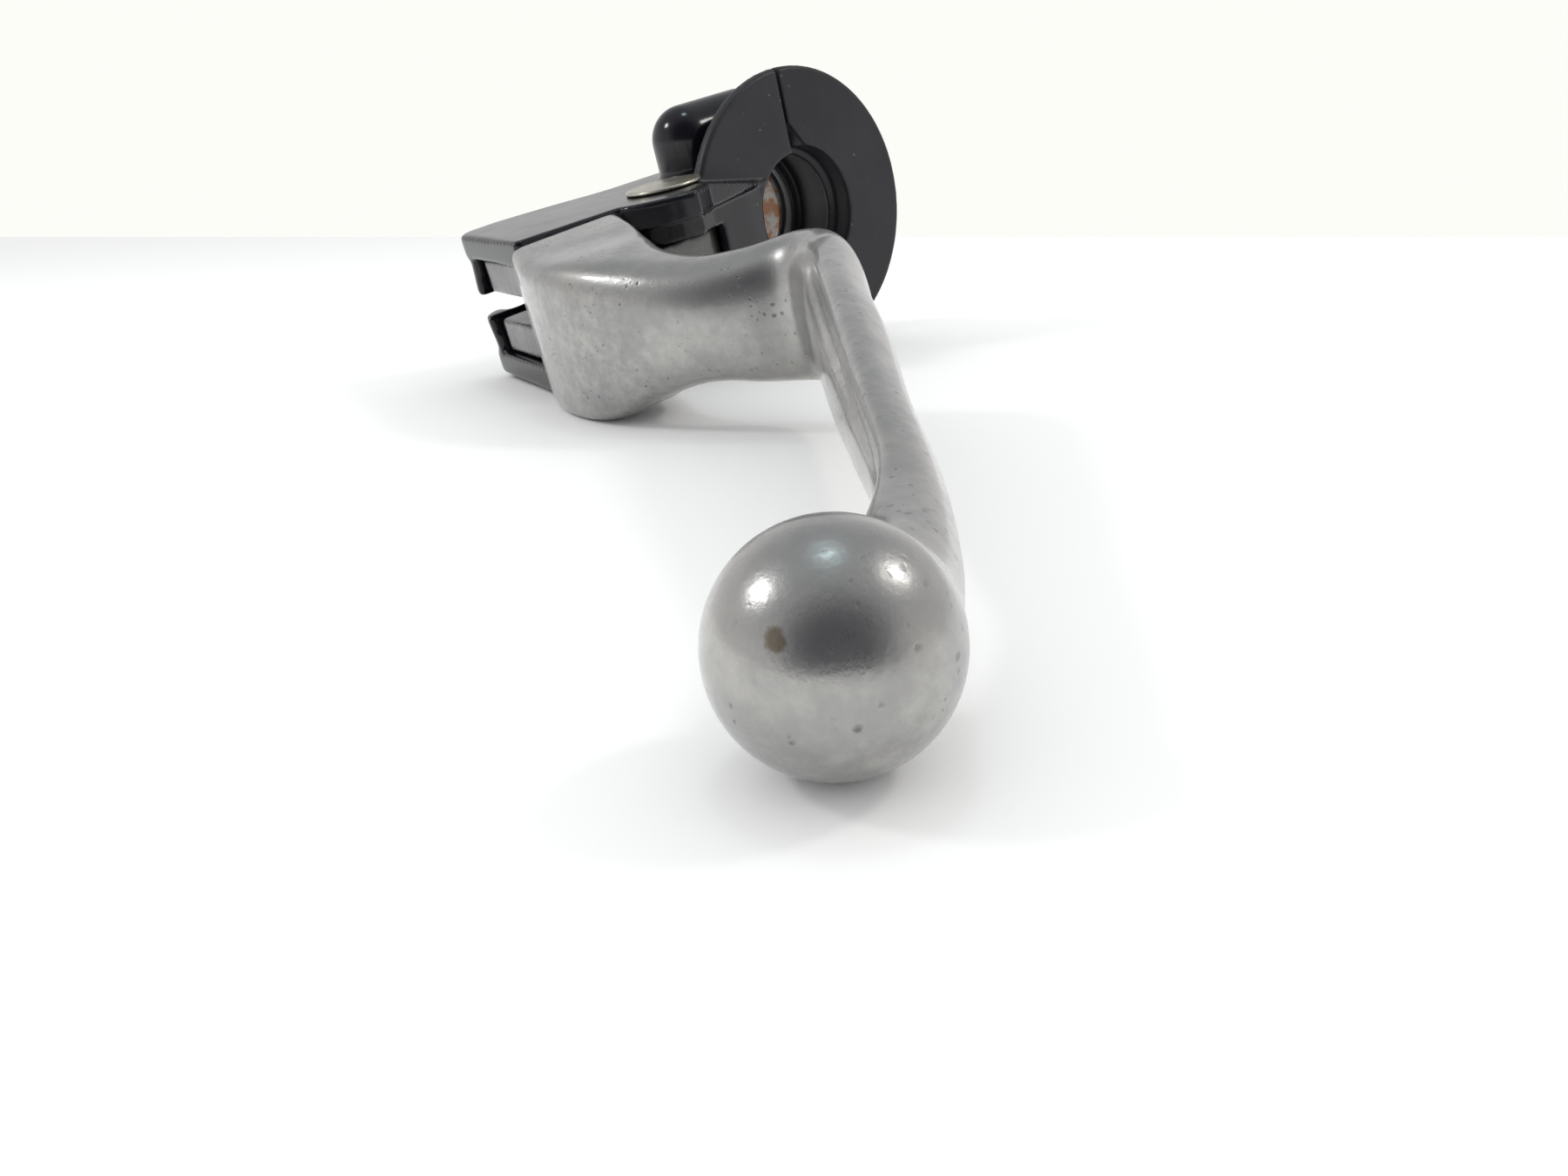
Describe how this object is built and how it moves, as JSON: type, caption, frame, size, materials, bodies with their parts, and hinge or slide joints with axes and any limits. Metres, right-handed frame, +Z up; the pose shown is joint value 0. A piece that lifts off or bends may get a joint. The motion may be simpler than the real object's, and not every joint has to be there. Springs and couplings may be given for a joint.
{
  "type": "motorcycle clutch lever and bracket",
  "caption": "Cast hand lever with a ball tip, pivoted in a black split handlebar bracket with a round flange; pulls a cable pinned in the lever's ears.",
  "frame": {"origin": "centre of the handlebar bore, on the outboard face of the flange disc", "axes": "+X along the bar towards the grip and the lever's ball, -Y forward towards the lever, +Z up along the lever's pivot"},
  "size_m": [0.1977, 0.1828, 0.0614],
  "materials": {
    "black_paint": "worn gloss black paint over die casting",
    "flange_paint": "worn satin black paint over die casting",
    "polished_alloy": "hazy hand-polished cast aluminium with pits and stains",
    "zinc_plate": "yellowed zinc-plated steel",
    "bare_steel": "bare steel, lightly oiled",
    "bronze": "dull sintered bronze",
    "nylon": "aged natural nylon"
  },
  "bodies": {
    "bracket": {"lever_bracket": "black_paint", "rear_clamp_half": "flange_paint", "pivot_pin": "zinc_plate", "pivot_pin_washer": "zinc_plate", "pivot_snap_ring": "bare_steel", "upper_clamp_screw": "zinc_plate", "lower_clamp_screw": "zinc_plate", "upper_lock_washer": "zinc_plate", "lower_lock_washer": "zinc_plate", "upper_plain_washer": "zinc_plate", "lower_plain_washer": "zinc_plate", "upper_thread_insert": "bare_steel", "lower_thread_insert": "bare_steel"},
    "lever": {"hand_lever": "polished_alloy", "pivot_bush": "bronze", "hub_wave_washer": "bare_steel", "hub_thrust_washer": "bare_steel", "upper_anchor_bush": "nylon", "lower_anchor_bush": "nylon"},
    "anchor": {"cable_anchor_pin": "bare_steel"}
  },
  "joints": [
    {"name": "lever_pull", "type": "hinge", "parent": "bracket", "child": "lever", "pos_m": [-0.004, -0.034, -0.0009], "axis": [0, 0, 1], "range_deg": [0, 26]},
    {"name": "anchor_turn", "type": "hinge", "parent": "lever", "child": "anchor", "pos_m": [-0.012, -0.058, -0.0009], "axis": [0, 0, 1], "range_deg": [-30, 30]}
  ]
}
